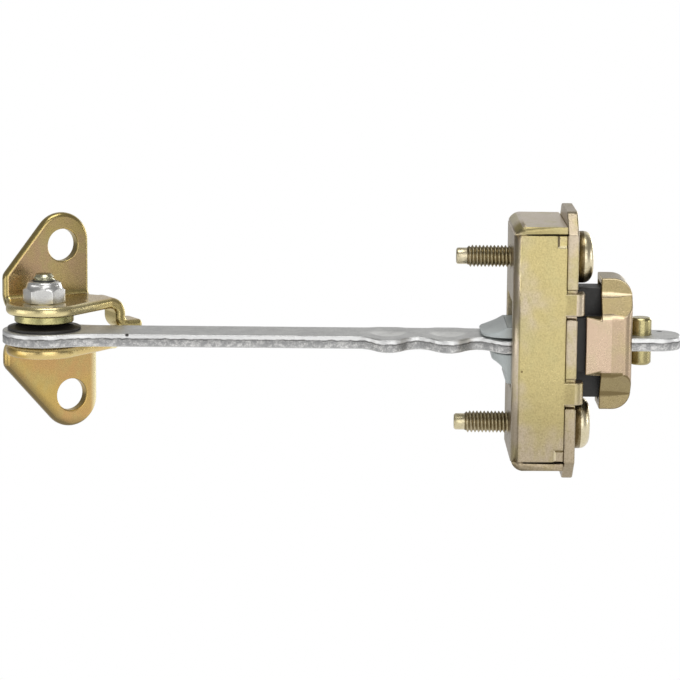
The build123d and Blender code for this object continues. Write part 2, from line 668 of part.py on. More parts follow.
with BuildPart() as upper_rubber_spring:
    rubber_spring(1)
upper_rubber_spring.part.label = "upper_rubber_spring"
export_step(upper_rubber_spring.part, "parts/upper_rubber_spring.step")

with BuildPart() as lower_rubber_spring:
    rubber_spring(-1)
lower_rubber_spring.part.label = "lower_rubber_spring"
export_step(lower_rubber_spring.part, "parts/lower_rubber_spring.step")


def cap_outline(inset):
    """End view of the cap: narrow ends and a wider waist for the arm, drawn in by an inset."""
    end_y = CAP_END_HALF_WIDTH - inset
    lug_y = CAP_LUG_HALF_WIDTH - inset
    end_z = CAP_HALF_HEIGHT - inset
    slope_z = CAP_LUG_HALF_HEIGHT + CAP_SLOPE
    right_side = [
        (end_y, -slope_z),
        (lug_y, -CAP_LUG_HALF_HEIGHT),
        (lug_y, CAP_LUG_HALF_HEIGHT),
        (end_y, slope_z),
    ]
    left_side = [(-y, -z) for y, z in right_side]
    with BuildLine() as outline:
        Polyline(
            (end_y, -end_z),
            *right_side,
            (end_y, end_z),
            (-end_y, end_z),
            *left_side,
            (-end_y, -end_z),
            close=True,
        )
    make_face(outline.edges())


def cap_form(inset):
    """Solid of the cap's outside or, drawn in by the sheet, of its hollow."""
    face_x = CAP_FACE_X - inset
    end_z = CAP_HALF_HEIGHT - inset
    with BuildSketch(Plane.YZ.offset(CAP_SKIRT_X)) as end_view:
        cap_outline(inset)
    extrude(end_view.sketch, amount=face_x - CAP_SKIRT_X)
    with BuildSketch(Plane.XZ) as side_view:
        with BuildLine():
            FilletPolyline(
                (CAP_SKIRT_X, -end_z),
                (face_x, -end_z),
                (face_x, end_z),
                (CAP_SKIRT_X, end_z),
                radius=[0, CAP_CORNER - inset, CAP_CORNER - inset, 0],
                close=True,
            )
        make_face()
    extrude(side_view.sketch, amount=CAP_LUG_HALF_WIDTH, both=True, mode=Mode.INTERSECT)


# Stop cap: pressed steel cup round the buffer, with two lugs beside the arm
with BuildPart() as cap_hollow:
    cap_form(CAP_SHEET)

with BuildPart() as stop_cap:
    cap_form(0)
    fillet(faces().sort_by(Axis.X)[-1].edges().filter_by(Axis.Z), radius=CAP_EDGE)
    add(cap_hollow.part, mode=Mode.SUBTRACT)
    for side in (1, -1):
        lug_y = side * (CAP_LUG_HALF_WIDTH - CAP_SHEET / 2)
        with Locations(((CAP_LUG_X + CAP_SKIRT_X) / 2, lug_y, 0)):
            Box(CAP_SKIRT_X - CAP_LUG_X, CAP_SHEET, 2 * CAP_LUG_HALF_HEIGHT)
    with BuildSketch(Plane.YZ.offset(CAP_SKIRT_X)):
        Rectangle(ARM_WIDTH + 2 * HOLE_FIT, ARM_THICKNESS + 2 * HOLE_FIT)
    extrude(amount=CAP_FACE_X - CAP_SKIRT_X, mode=Mode.SUBTRACT)
stop_cap.part.label = "stop_cap"
export_step(stop_cap.part, "parts/stop_cap.step")


# Buffer: rubber block that fills the cap and lands on the cover plate
with BuildPart() as buffer:
    buffer_x = PLATE_FACE_X + 2 * SEAT_GAP
    buffer_end_x = CAP_FACE_X - CAP_SHEET - SEAT_GAP
    inside = CAP_SHEET + HOLE_FIT
    with BuildSketch(Plane.YZ.offset(buffer_x)):
        Rectangle(2 * (CAP_END_HALF_WIDTH - inside), 2 * BUFFER_HALF_HEIGHT)
        Rectangle(2 * (CAP_LUG_HALF_WIDTH - inside), 2 * (CAP_LUG_HALF_HEIGHT - BUFFER_SIDE_GAP))
        Rectangle(ARM_WIDTH + 2 * HOLE_FIT, ARM_THICKNESS + 2 * HOLE_FIT, mode=Mode.SUBTRACT)
    extrude(amount=buffer_end_x - buffer_x)
    with BuildSketch(Plane.XZ):
        with BuildLine():
            FilletPolyline(
                (buffer_x, -BUFFER_HALF_HEIGHT),
                (buffer_end_x, -BUFFER_HALF_HEIGHT),
                (buffer_end_x, BUFFER_HALF_HEIGHT),
                (buffer_x, BUFFER_HALF_HEIGHT),
                radius=[0, CAP_CORNER - CAP_SHEET, CAP_CORNER - CAP_SHEET, 0],
                close=True,
            )
        make_face()
    extrude(amount=CAP_LUG_HALF_WIDTH, both=True, mode=Mode.INTERSECT)
buffer.part.label = "buffer"
export_step(buffer.part, "parts/buffer.step")


# Stop pin: plain pin pressed through the arm behind the cap
with BuildPart() as stop_pin:
    with BuildSketch(Plane.XY.offset(-PIN_LENGTH / 2)):
        with Locations((PIN_X, 0)):
            Circle(PIN_RADIUS)
    extrude(amount=PIN_LENGTH)
    chamfer(edges().filter_by(GeomType.CIRCLE), length=PIN_CHAMFER)
stop_pin.part.label = "stop_pin"
export_step(stop_pin.part, "parts/stop_pin.step")
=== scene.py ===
import math
import bmesh
import bpy
from mathutils import Matrix, Quaternion, Vector


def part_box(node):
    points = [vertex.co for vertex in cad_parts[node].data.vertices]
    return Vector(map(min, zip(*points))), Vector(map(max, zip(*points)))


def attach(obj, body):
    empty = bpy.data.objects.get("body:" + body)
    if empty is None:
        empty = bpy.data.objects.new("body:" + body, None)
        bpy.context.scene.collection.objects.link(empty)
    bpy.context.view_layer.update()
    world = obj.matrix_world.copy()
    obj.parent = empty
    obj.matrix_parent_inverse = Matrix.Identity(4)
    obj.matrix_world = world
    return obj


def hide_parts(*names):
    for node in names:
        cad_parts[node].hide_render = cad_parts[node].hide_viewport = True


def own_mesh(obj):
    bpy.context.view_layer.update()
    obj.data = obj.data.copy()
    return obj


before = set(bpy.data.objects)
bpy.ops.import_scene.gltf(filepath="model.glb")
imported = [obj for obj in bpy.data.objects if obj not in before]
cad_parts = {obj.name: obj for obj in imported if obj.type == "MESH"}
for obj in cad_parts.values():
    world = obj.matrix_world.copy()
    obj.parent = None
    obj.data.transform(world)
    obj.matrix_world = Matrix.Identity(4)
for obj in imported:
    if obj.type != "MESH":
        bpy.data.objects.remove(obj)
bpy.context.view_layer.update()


# Check arm: a strip blanked from thick steel sheet, coined at its detents and zinc plated. The bath leaves
# its faces dull. Its blanked edges are bright where the punch sheared them and rough where they broke away.
ARM_EASE = 0.0004
ARM_DULL = (0.59, 0.59, 0.58, 1)
ARM_PALE = (0.78, 0.78, 0.76, 1)
ARM_BURNISH_AND_HIGHLIGHT = (0.84, 0.84, 0.81, 1)
ARM_BRIGHT = (0.80, 0.80, 0.79, 1)
ARM_BROKEN = (0.42, 0.42, 0.42, 1)
ARM_TORN = (0.86, 0.85, 0.83, 1)
# Dark of the crack line and of small marks, also used as painted shade at the foot of the edges.
ARM_CRACK_AND_SHADE = (0.07, 0.068, 0.065, 1)
SHEAR_DEPTH = 0.62
ARM_HALF_WIDTH = 0.0075
DETENTS = 3
DETENT_PITCH = 0.0163
LAST_DETENT_X = -0.00055
DETENT_SWELL = 0.0038
DETENT_DIP = 0.00045
DETENT_STATIONS = 32
ARM_ROWS = 28
DIMPLE_HALF_LENGTH = 0.0052
DIMPLE_HALF_WIDTH = 0.0046
DIMPLE_DEPTH = 0.00045
NICK = (-0.1041, -0.0075, 0.0016)
NICK_RADIUS = 0.0007
STAIN = (0.0416, 0.0046, 0.0018)
STAIN_RADIUS = 0.0010
GRAINS_PER_METRE = 2600
TEARS_PER_METRE = 700
WAVES_PER_METRE = 420
WEAR_PER_METRE = 300
ARM_RELIEF = 0.00009
WELD = 1e-6
NEAR = 1e-5


class Shade:
    """An output socket of a material. Sums of sockets and numbers add Math nodes to the material."""

    def __init__(self, tree, socket=None):
        self.tree = tree
        self.socket = socket

    def node(self, kind, settings=None, inputs=None, output=0):
        """Adds any node: its settings first, then the values or links of its sockets."""
        made = self.tree.nodes.new(kind)
        for name, value in (settings or {}).items():
            setattr(made, name, value)
        for name, value in (inputs or {}).items():
            self.feed(made.inputs[name], value)
        return Shade(self.tree, made.outputs[output])

    def feed(self, socket, value):
        """Links or sets one input socket."""
        if isinstance(value, Shade):
            self.tree.links.new(value.socket, socket)
        else:
            socket.default_value = value

    def math(self, operation, first, second=0.0):
        """Adds the Math node of one operator."""
        return self.node("ShaderNodeMath", {"operation": operation}, {0: first, 1: second})

    def __add__(self, other):
        return self.math("ADD", self, other)

    def __radd__(self, other):
        return self.math("ADD", other, self)

    def __sub__(self, other):
        return self.math("SUBTRACT", self, other)

    def __rsub__(self, other):
        return self.math("SUBTRACT", other, self)

    def __mul__(self, other):
        return self.math("MULTIPLY", self, other)

    def __rmul__(self, other):
        return self.math("MULTIPLY", other, self)

    def __abs__(self):
        return self.math("ABSOLUTE", self)

    def step(self, low, high):
        """0 below low, 1 above high and a smooth rise between them."""
        return self.node(
            "ShaderNodeMapRange",
            {"interpolation_type": "SMOOTHSTEP"},
            {"Value": self, "From Min": low, "From Max": high},
        )

    def blend(self, colour, other):
        """Colour where this value is 0, and the other one where it is 1."""
        return self.node("ShaderNodeMix", {"data_type": "RGBA"}, {0: self, 6: colour, 7: other}, output=2)


def place(shade, stretch=(1, 1, 1)):
    """Where a point lies on the object, in metres, drawn out along the axes."""
    here = shade.node("ShaderNodeTexCoord", output="Object")
    return shade.node("ShaderNodeMapping", None, {"Vector": here, "Scale": stretch})


def cloud(where, grains_per_metre, detail=2.0, roughness=0.5):
    """Soft noise from 0 to 1."""
    return where.node(
        "ShaderNodeTexNoise",
        None,
        {"Vector": where, "Scale": grains_per_metre, "Detail": detail, "Roughness": roughness},
    )


def finish(name, **constants):
    """A new material, with values that are the same all over set on its shader."""
    material = bpy.data.materials.new(name)
    material.use_nodes = True
    shader = material.node_tree.nodes["Principled BSDF"]
    for socket, value in constants.items():
        shader.inputs[socket.replace("_", " ").title()].default_value = value
    return material, Shade(material.node_tree), shader.inputs


def relief(shade, height, depth, strength=1.0):
    """Normal of a surface with fine relief of that depth, in metres."""
    return shade.node("ShaderNodeBump", None, {"Height": height, "Distance": depth, "Strength": strength})


def cad_copy(node):
    """A CAD node's mesh as a bmesh of whole faces, with its triangles joined."""
    mesh = bmesh.new()
    mesh.from_mesh(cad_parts[node].data)
    bmesh.ops.remove_doubles(mesh, verts=mesh.verts, dist=WELD)
    bmesh.ops.dissolve_limit(mesh, angle_limit=math.radians(1), verts=mesh.verts, edges=mesh.edges)
    return mesh


def cut_across(mesh, at, normal, snap=0.0, drop_beyond=False):
    """Cuts a mesh along a plane and, if asked to, drops what lies beyond it."""
    bmesh.ops.bisect_plane(
        mesh,
        geom=mesh.verts[:] + mesh.edges[:] + mesh.faces[:],
        dist=snap,
        plane_co=at,
        plane_no=normal,
        clear_outer=drop_beyond,
    )


def ease_edges(mesh, ease, segments=3, sharper_than=30, where=None):
    """Breaks the edges that are sharper than an angle in degrees, all of them or those that a rule picks."""
    limit = math.radians(sharper_than)
    sharp = [edge for edge in mesh.edges if edge.is_manifold and edge.calc_face_angle() > limit]
    if where:
        sharp = [edge for edge in sharp if where(edge)]
    bmesh.ops.bevel(
        mesh,
        geom=sharp,
        offset=ease,
        affect="EDGES",
        segments=segments,
        profile=0.5,
        material=-1,
        clamp_overlap=False,
    )


def piece(name, mesh, body, slot, materials, *nodes):
    """Makes the object of a finished mesh, smooth shaded, which rides on a body and stands for CAD nodes."""
    data = bpy.data.meshes.new(name)
    mesh.to_mesh(data)
    mesh.free()
    if "custom_normal" in data.attributes:
        data.attributes.remove(data.attributes["custom_normal"])
    data.materials.clear()
    for material in materials:
        data.materials.append(material)
    data.shade_smooth()
    made = bpy.data.objects.new(name, data)
    bpy.context.scene.collection.objects.link(made)
    made.modifiers.new("flat_faces", "WEIGHTED_NORMAL")
    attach(made, body)
    if nodes:
        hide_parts(*nodes)
    return made


def spot(here, centre, radius):
    """1 at a small mark on the surface and 0 away from it."""
    settings = {"operation": "DISTANCE"}
    away = here.node("ShaderNodeVectorMath", settings, {0: here, 1: centre}, output="Value")
    return 1 - away.step(radius * 0.5, radius)


def arm_zinc():
    """Dull zinc on the faces, and on the edges a bright sheared band above a rough torn one."""
    material, shade, shader = finish("arm_zinc", metallic=1.0)
    here = place(shade)
    edge = shade.node("ShaderNodeAttribute", {"attribute_name": "edge"}, output="Fac")
    height = shade.node("ShaderNodeAttribute", {"attribute_name": "height"}, output="Fac")
    coined = shade.node("ShaderNodeAttribute", {"attribute_name": "coined"}, output="Fac")
    grain = cloud(here, GRAINS_PER_METRE, 3, 0.6)
    tears = cloud(place(shade, (1, 1, 1.3)), TEARS_PER_METRE, 3, 0.6)
    wander = cloud(place(shade, (1, 1, 0.2)), WAVES_PER_METRE, 3)
    above_break = height - SHEAR_DEPTH + (wander - 0.5) * 0.2
    bright = above_break.step(-0.02, 0.08)
    crack = 1 - abs(above_break).step(0.0, 0.09)
    # The foot of each edge is painted dark: painted shade where the edge turns under.
    foot = 1 - height.step(0.0, 0.12)
    worn = cloud(here, WEAR_PER_METRE, 4, 0.6)
    dull = (worn * 0.5 + grain * 0.5).step(0.3, 0.7).blend(ARM_DULL, ARM_PALE)
    # The coined dimples are burnished, and their pale colour is also a painted highlight.
    dull = (coined * (0.45 + 0.55 * worn.step(0.35, 0.6))).blend(dull, ARM_BURNISH_AND_HIGHLIGHT)
    broken = (tears * 0.6 + grain * 0.4).step(0.42, 0.68).blend(ARM_BROKEN, ARM_TORN)
    broken = (height.step(0.1, SHEAR_DEPTH) * 0.3).blend(broken, ARM_CRACK_AND_SHADE)
    sheared = bright.blend(broken, ARM_BRIGHT)
    sheared = (crack * (0.35 + 0.45 * worn.step(0.4, 0.6)) + foot * 0.6).blend(sheared, ARM_CRACK_AND_SHADE)
    marks = spot(here, NICK, NICK_RADIUS) + spot(here, STAIN, STAIN_RADIUS)
    clean = edge.step(0.3, 0.7).blend(dull, sheared)
    shade.feed(shader["Base Color"], marks.blend(clean, ARM_CRACK_AND_SHADE))
    shade.feed(shader["Roughness"], 0.5 + edge * (0.06 - bright * 0.22) - coined * 0.15)
    rough = grain + tears * edge + above_break.step(-0.08, 0.05) * edge
    shade.feed(shader["Normal"], relief(shade, rough, ARM_RELIEF))
    return material


def swell(off):
    """How far the arm's edge stands out, at a distance along it from the middle of a detent."""
    quarter = DETENT_PITCH / 4
    radius = quarter**2 / DETENT_SWELL + DETENT_SWELL / 4
    if off < quarter:
        return DETENT_SWELL - radius + math.sqrt(radius**2 - off**2)
    return radius - math.sqrt(radius**2 - (2 * quarter - off) ** 2)


def dip(off):
    """How far the strip is pressed down, at a distance along it from the middle of a detent."""
    return DETENT_DIP * (1 + math.cos(math.tau * off / DETENT_PITCH)) / 2


mesh = cad_copy("check_arm")
detent_start = LAST_DETENT_X - DETENT_PITCH * (DETENTS - 0.5)
detent_end = LAST_DETENT_X + DETENT_PITCH / 2
for plane_x in (detent_start, detent_end):
    cut_across(mesh, (plane_x, 0, 0), (1, 0, 0), snap=NEAR)
between = [vert for vert in mesh.verts if detent_start + 2 * NEAR < vert.co.x < detent_end - 2 * NEAR]
bmesh.ops.delete(mesh, geom=between, context="VERTS")
open_edges = [edge for edge in mesh.edges if edge.is_boundary]
across = [edge for edge in open_edges if edge.verts[0].co.z * edge.verts[1].co.z > 0]
bmesh.ops.subdivide_edges(mesh, edges=across, cuts=ARM_ROWS - 1)
rim = [edge for edge in mesh.edges if edge.is_boundary and edge.verts[0].co.x < LAST_DETENT_X]
for _ in range(DETENTS * DETENT_STATIONS):
    drawn = bmesh.ops.extrude_edge_only(mesh, edges=rim)["geom"]
    ahead = {item for item in drawn if isinstance(item, bmesh.types.BMVert)}
    drawn_edges = [item for item in drawn if isinstance(item, bmesh.types.BMEdge)]
    rim = [edge for edge in drawn_edges if ahead.issuperset(edge.verts)]
    bmesh.ops.translate(mesh, verts=list(ahead), vec=(DETENT_PITCH / DETENT_STATIONS, 0, 0))
bmesh.ops.remove_doubles(mesh, verts=mesh.verts, dist=NEAR)
bmesh.ops.recalc_face_normals(mesh, faces=mesh.faces)
edge_layer = mesh.verts.layers.float.new("edge")
height_layer = mesh.verts.layers.float.new("height")
coined_layer = mesh.verts.layers.float.new("coined")
for vert in mesh.verts:
    on_top = vert.co.z > 0
    vert[height_layer] = float(on_top)
    if detent_start < vert.co.x < detent_end:
        along = (vert.co.x - detent_start) % DETENT_PITCH - DETENT_PITCH / 2
        vert.co.y *= 1 + swell(abs(along)) / ARM_HALF_WIDTH
        vert.co.z -= dip(abs(along))
        hollow = 1 - (along / DIMPLE_HALF_LENGTH) ** 2 - (vert.co.y / DIMPLE_HALF_WIDTH) ** 2
        if on_top and hollow > 0:
            vert.co.z -= DIMPLE_DEPTH * hollow
            vert[coined_layer] = min(1, 3 * hollow)
ease_edges(mesh, ARM_EASE)
mesh.normal_update()
for vert in mesh.verts:
    vert[edge_layer] = 1 - max(abs(face.normal.z) for face in vert.link_faces)
piece("arm_blank", mesh, "arm", "arm_zinc", [arm_zinc()], "check_arm")


# Pivot bush: a dark plastic sleeve moulded into the arm's eye, on which the arm turns. Its flange falls away
# to its rim and keeps the arm off the washer above it.
BUSH_EASE = 0.0002
BUSH_FALL = 0.0013
BUSH_DARK = (0.016, 0.014, 0.012, 1)
BUSH_WORN = (0.035, 0.031, 0.027, 1)
MOTTLE_PER_METRE = 150
MOULD_GRAINS_PER_METRE = 2700
MOULD_RELIEF = 0.00004


def moulded(name, dark, light, roughness):
    """Plastic or rubber with a faint mottle and a fine grain."""
    material, shade, shader = finish(name)
    here = place(shade)
    mottle = cloud(here, MOTTLE_PER_METRE, 3)
    grain = cloud(here, MOULD_GRAINS_PER_METRE, 2)
    shade.feed(shader["Base Color"], mottle.blend(dark, light))
    shade.feed(shader["Roughness"], roughness + (grain - 0.5) * 0.2)
    shade.feed(shader["Normal"], relief(shade, grain, MOULD_RELIEF))
    return material


mesh = cad_copy("pivot_bush")
bush_low, bush_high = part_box("pivot_bush")
bush_middle = (bush_low + bush_high) / 2
rim_reach = bush_high.x - bush_middle.x - 10 * NEAR
for vert in mesh.verts:
    reach = math.hypot(vert.co.x - bush_middle.x, vert.co.y - bush_middle.y)
    if reach > rim_reach and vert.co.z > bush_high.z - 10 * NEAR:
        vert.co.z -= BUSH_FALL
ease_edges(mesh, BUSH_EASE)
bush_plastic = moulded("bush_plastic", dark=BUSH_DARK, light=BUSH_WORN, roughness=0.45)
piece("bush_moulding", mesh, "arm", "bush_plastic", [bush_plastic], "pivot_bush")


# Washers: a thick turned spacer under the upper bracket, and a thin thrust washer under the arm. Both are
# steel with a pale yellow passivated zinc.
WASHER_EASE = 0.0003
ZINC_BROWN = (0.20, 0.15, 0.07, 1)
ZINC_PALE = (0.95, 0.85, 0.52, 1)
SPECK_RADIUS = 0.0005
FILM_PER_METRE = 70
PATCH_PER_METRE = 160
SPECKLES_PER_METRE = 2100


def faded(value, here, fades):
    """Adds to a value along each fade: a direction, where it starts and ends that way, and a strength."""
    for way, start, end, strength in fades:
        settings = {"operation": "DOT_PRODUCT"}
        along = here.node("ShaderNodeVectorMath", settings, {0: here, 1: way}, output="Value")
        value = value + strength * along.step(start, end)
    return value


def yellow_zinc(
    name, gold, pink, green, roughness, depth=0.22, grain=0.00004, fades=(), blushes=(), speck=None
):
    """Yellow passivated zinc: gold, and pink or green where the film is thinner or thicker."""
    material, shade, shader = finish(name, metallic=1.0)
    here = place(shade)
    film = cloud(here, FILM_PER_METRE, 3, 0.55)
    turned = shade.node("ShaderNodeAttribute", {"attribute_name": "film"}, output="Fac")
    tarnish_and_shading = shade.node("ShaderNodeAttribute", {"attribute_name": "tarnish_and_shading"}, output="Fac")
    turned = faded(turned, here, blushes)
    tarnish_and_shading = faded(tarnish_and_shading, here, fades)
    patch = cloud(place(shade, (1.3, 1, 0.8)), PATCH_PER_METRE, 4, 0.6)
    speckle = cloud(here, SPECKLES_PER_METRE, 2, 0.7)
    tinted = (film - 0.2 + turned * 0.6).step(0.35, 0.65).blend(gold, pink)
    tinted = (patch.step(0.45, 0.72) * 0.7).blend(tinted, green)
    # Below zero the per-face value paints the zinc pale: a painted highlight.
    tinted = (tarnish_and_shading * -1.0).blend(tinted, ZINC_PALE)
    # The brown is the zinc's own specks and dulling, and painted shade from the per-face values and the
    # fades.
    specks_and_shade = (speckle.step(0.40, 0.72) * depth + tarnish_and_shading * 0.8).blend(tinted, ZINC_BROWN)
    if speck:
        specks_and_shade = spot(here, speck, SPECK_RADIUS).blend(specks_and_shade, ZINC_BROWN)
    shade.feed(shader["Base Color"], specks_and_shade)
    shade.feed(shader["Roughness"], roughness + (speckle - 0.5) * 0.25 + (film - 0.5) * 0.15)
    shade.feed(shader["Normal"], relief(shade, speckle + patch * 0.5, grain))
    return material


def turn_film_and_shade(mesh, rule):
    """Marks each face by place: its pink film, and its dulling and painted shade, below zero a painted
    highlight.
    """
    film = mesh.faces.layers.float.new("film")
    tarnish_and_shading = mesh.faces.layers.float.new("tarnish_and_shading")
    mesh.normal_update()
    for face in mesh.faces:
        face[film], face[tarnish_and_shading] = rule(face.normal, face.calc_center_median())


washer_zinc = yellow_zinc(
    "washer_zinc",
    gold=(0.50, 0.46, 0.21, 1),
    pink=(0.58, 0.52, 0.32, 1),
    green=(0.42, 0.44, 0.19, 1),
    roughness=0.28,
)
for node, name in (("upper_washer", "spacer_washer"), ("lower_thrust_washer", "thrust_washer")):
    mesh = cad_copy(node)
    low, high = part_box(node)
    ease_edges(mesh, min(WASHER_EASE, (high.z - low.z) / 4))
    piece(name, mesh, "bracket", "washer_zinc", [washer_zinc], node)


# Pivot stud: turned steel, its head pressed flush into the lower bracket and its threaded end up through
# the nut. Only the tip of the thread shows.
THREAD_PITCH = 0.001
THREAD_DEPTH = 0.00055
THREAD_FORM = [(0, 0), (0.12, 0), (0.42, 1), (0.58, 1), (0.88, 0), (1, 0)]
TURN_STEPS = 32
PIVOT_THREAD_RADIUS = 0.003
PIVOT_TIP_RADIUS = 0.0021
PIVOT_EASE = 0.0001


def lathe(mesh, profile, steps=TURN_STEPS):
    """Turns a profile of (X, radius) pairs round the X axis."""
    verts = [mesh.verts.new((x, 0, radius)) for x, radius in profile]
    edges = [mesh.edges.new(pair) for pair in zip(verts, verts[1:])]
    bmesh.ops.spin(
        mesh,
        geom=verts + edges,
        axis=(1, 0, 0),
        cent=(0, 0, 0),
        angle=math.tau,
        steps=steps,
        use_merge=True,
    )


def rolled_thread(mesh, start, end, radius, taper_radius):
    """Helical thread along X from start to end, with its first turns drawn in to a smaller radius."""
    thread = bmesh.new()
    root = radius - THREAD_DEPTH
    first = start - THREAD_PITCH
    turns = math.ceil((end - start) / THREAD_PITCH) + 1
    flank = [(first + along * THREAD_PITCH, 0, root + out * THREAD_DEPTH) for along, out in THREAD_FORM]
    verts = [thread.verts.new(point) for point in flank]
    edges = [thread.edges.new(pair) for pair in zip(verts, verts[1:])]
    bmesh.ops.spin(
        thread,
        geom=verts + edges,
        axis=(1, 0, 0),
        cent=(0, 0, 0),
        dvec=(THREAD_PITCH / TURN_STEPS, 0, 0),
        angle=math.tau * turns,
        steps=TURN_STEPS * turns,
    )
    bmesh.ops.remove_doubles(thread, verts=thread.verts, dist=WELD)
    for plane_x, outward in ((start, -1), (end, 1)):
        cut_across(thread, (plane_x, 0, 0), (outward, 0, 0), drop_beyond=True)
    for vert in thread.verts:
        reach = math.hypot(vert.co.y, vert.co.z)
        limit = taper_radius + vert.co.x - start
        if reach > limit:
            vert.co.yz *= limit / reach
    bmesh.ops.holes_fill(thread, edges=[edge for edge in thread.edges if edge.is_boundary])
    bmesh.ops.recalc_face_normals(thread, faces=thread.faces)
    cut = bpy.data.meshes.new("thread")
    thread.to_mesh(cut)
    thread.free()
    mesh.from_mesh(cut)
    bpy.data.meshes.remove(cut)


def stand_at_pivot(mesh, turn, height):
    """Turns a mesh from the X axis to the pivot's axis and sets it at a height there."""
    bmesh.ops.rotate(mesh, verts=mesh.verts, cent=(0, 0, 0), matrix=Matrix.Rotation(turn, 3, "Y"))
    bmesh.ops.translate(mesh, verts=mesh.verts, vec=(pivot_middle.x, pivot_middle.y, height))


pivot_low, pivot_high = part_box("pivot_stud")
pivot_middle = (pivot_low + pivot_high) / 2
nut_low, nut_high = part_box("lock_nut")
pivot_zinc = yellow_zinc(
    "pivot_steel",
    gold=(0.58, 0.56, 0.40, 1),
    pink=(0.66, 0.62, 0.48, 1),
    green=(0.50, 0.52, 0.34, 1),
    roughness=0.26,
)
mesh = bmesh.new()
rolled_thread(mesh, -pivot_high.z, -nut_low.z, PIVOT_THREAD_RADIUS, PIVOT_TIP_RADIUS)
stand_at_pivot(mesh, math.pi / 2, 0)
piece("pivot_thread", mesh, "bracket", "pivot_steel", [pivot_zinc])
mesh = cad_copy("pivot_stud")
cut_across(mesh, nut_low, (0, 0, 1), drop_beyond=True)
bmesh.ops.holes_fill(mesh, edges=[edge for edge in mesh.edges if edge.is_boundary])
ease_edges(mesh, PIVOT_EASE, sharper_than=40)
piece("pivot_pin", mesh, "bracket", "pivot_steel", [pivot_zinc], "pivot_stud")


# Lock nut: hexagon steel, white zinc, its corners chamfered and its tall collar rolled over a dark nylon
# ring that grips the thread.
NUT_STEPS = 120
NUT_HALF_FLATS = 0.005
NUT_CONE = 0.0061
NUT_FOOT = 0.0050
FOOT_CHAMFER = 0.0003
HEX_HEIGHT = 0.0041
HEX_CHAMFER = 0.0009
COLLAR_FOOT = 0.0050
COLLAR_SIDE = 0.0050
COLLAR_TOP = 0.0059
COLLAR_RADIUS = 0.0047
COLLAR_LIP = 0.0037
COLLAR_MOUTH = 0.0032
MOUTH_DEPTH = 0.0003
RING_ROUND = 0.0002
CHAMFER_STEPS = 10
NUT_TURN = math.radians(90)
NUT_LIGHT = (0.92, 0.91, 0.88, 1)
NUT_SHADED = (0.62, 0.62, 0.61, 1)
CAST_PER_METRE = 180
PITS_PER_METRE = 3000
PIT_DEPTH = 0.00003
NYLON_DARK = (0.020, 0.020, 0.018, 1)
NYLON_LIGHT = (0.045, 0.044, 0.040, 1)


def white_zinc(name, light, shaded, roughness):
    """Bright zinc with a faint blue cast and fine pits."""
    material, shade, shader = finish(name, metallic=1.0)
    here = place(shade)
    cast = cloud(here, CAST_PER_METRE, 3)
    pits = cloud(here, PITS_PER_METRE, 3, 0.6)
    shade.feed(shader["Base Color"], (cast * 0.7 + pits * 0.3).step(0.3, 0.7).blend(shaded, light))
    shade.feed(shader["Roughness"], roughness + (pits - 0.5) * 0.2)
    shade.feed(shader["Normal"], relief(shade, pits, PIT_DEPTH))
    return material


profile = [(0, PIVOT_THREAD_RADIUS), (0, NUT_FOOT), (FOOT_CHAMFER, NUT_CONE)]
for step in range(CHAMFER_STEPS + 1):
    share = step / CHAMFER_STEPS
    profile.append((HEX_HEIGHT - HEX_CHAMFER * (1 - share), NUT_CONE + (COLLAR_FOOT - NUT_CONE) * share))
for step in range(CHAMFER_STEPS + 1):
    turn = math.pi / 2 * step / CHAMFER_STEPS
    rise = (COLLAR_TOP - COLLAR_SIDE) * math.sin(turn)
    profile.append((COLLAR_SIDE + rise, COLLAR_LIP + (COLLAR_RADIUS - COLLAR_LIP) * math.cos(turn)))
profile += [(COLLAR_TOP, COLLAR_MOUTH), (COLLAR_TOP - MOUTH_DEPTH, COLLAR_MOUTH)]
profile += [(COLLAR_TOP - MOUTH_DEPTH, PIVOT_THREAD_RADIUS), (0, PIVOT_THREAD_RADIUS)]
mesh = bmesh.new()
lathe(mesh, profile, NUT_STEPS)
bmesh.ops.remove_doubles(mesh, verts=mesh.verts, dist=WELD)
for vert in mesh.verts:
    turn = math.atan2(vert.co.y, vert.co.z)
    from_flat = (turn + math.pi / 6) % (math.pi / 3) - math.pi / 6
    reach = math.hypot(vert.co.y, vert.co.z)
    limit = NUT_HALF_FLATS / math.cos(from_flat)
    if reach > limit:
        vert.co.yz *= limit / reach
stand_at_pivot(mesh, -math.pi / 2, nut_low.z)
bmesh.ops.rotate(mesh, verts=mesh.verts, cent=pivot_middle, matrix=Matrix.Rotation(NUT_TURN, 3, "Z"))
bmesh.ops.recalc_face_normals(mesh, faces=mesh.faces)
nut_zinc = white_zinc("nut_zinc", light=NUT_LIGHT, shaded=NUT_SHADED, roughness=0.3)
piece("nut_body", mesh, "bracket", "nut_zinc", [nut_zinc], "lock_nut")
ring_height = nut_high.z - nut_low.z
ring_foot = COLLAR_TOP - MOUTH_DEPTH
mesh = bmesh.new()
lathe(
    mesh,
    [
        (ring_foot, PIVOT_THREAD_RADIUS),
        (ring_foot, COLLAR_MOUTH),
        (ring_height - RING_ROUND, COLLAR_MOUTH),
        (ring_height, COLLAR_MOUTH - RING_ROUND),
        (ring_height, PIVOT_THREAD_RADIUS),
        (ring_foot, PIVOT_THREAD_RADIUS),
    ],
)
bmesh.ops.remove_doubles(mesh, verts=mesh.verts, dist=WELD)
stand_at_pivot(mesh, -math.pi / 2, nut_low.z)
bmesh.ops.recalc_face_normals(mesh, faces=mesh.faces)
nylon = moulded("nylon", dark=NYLON_DARK, light=NYLON_LIGHT, roughness=0.4)
piece("nut_ring", mesh, "bracket", "nylon", [nylon], "nut_insert")


